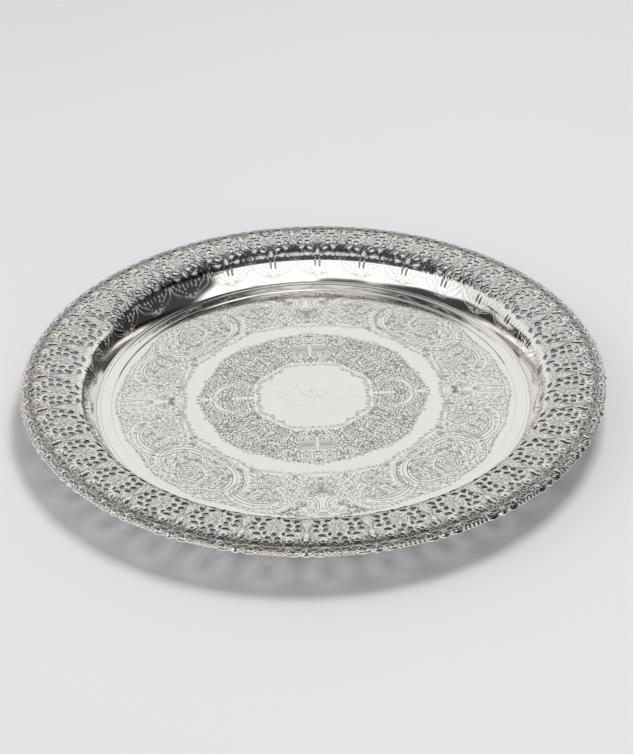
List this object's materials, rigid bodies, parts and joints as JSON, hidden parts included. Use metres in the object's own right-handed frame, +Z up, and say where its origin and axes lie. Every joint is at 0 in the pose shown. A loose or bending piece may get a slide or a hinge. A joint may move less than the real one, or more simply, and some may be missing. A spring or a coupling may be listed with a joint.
{
  "type": "offering plate",
  "caption": "Round silver-plated offering plate: engraved flat well, polished step, steep pierced border turned over into a low crown, scalloped rim moulding.",
  "frame": {"origin": "middle of the underside of the well, on the surface the plate stands on", "axes": "+Z up, along the plate's axis; +Y away from the viewer who faces the plate, +X to the right; the engraving is laid out along X and Y"},
  "size_m": [0.4, 0.4, 0.0254],
  "materials": {
    "well": "bright silver plate, engraved",
    "wire": "bright silver plate, polished",
    "border": "silver plate, pierced and chased",
    "rim": "cast silver-plated moulding, slightly tarnished in the hollows"
  },
  "bodies": {
    "root": {"well_plate": "well", "joint_wire": "wire", "border_wall": "border", "pierced_crown": "border", "rim_mount": "rim"}
  },
  "joints": []
}
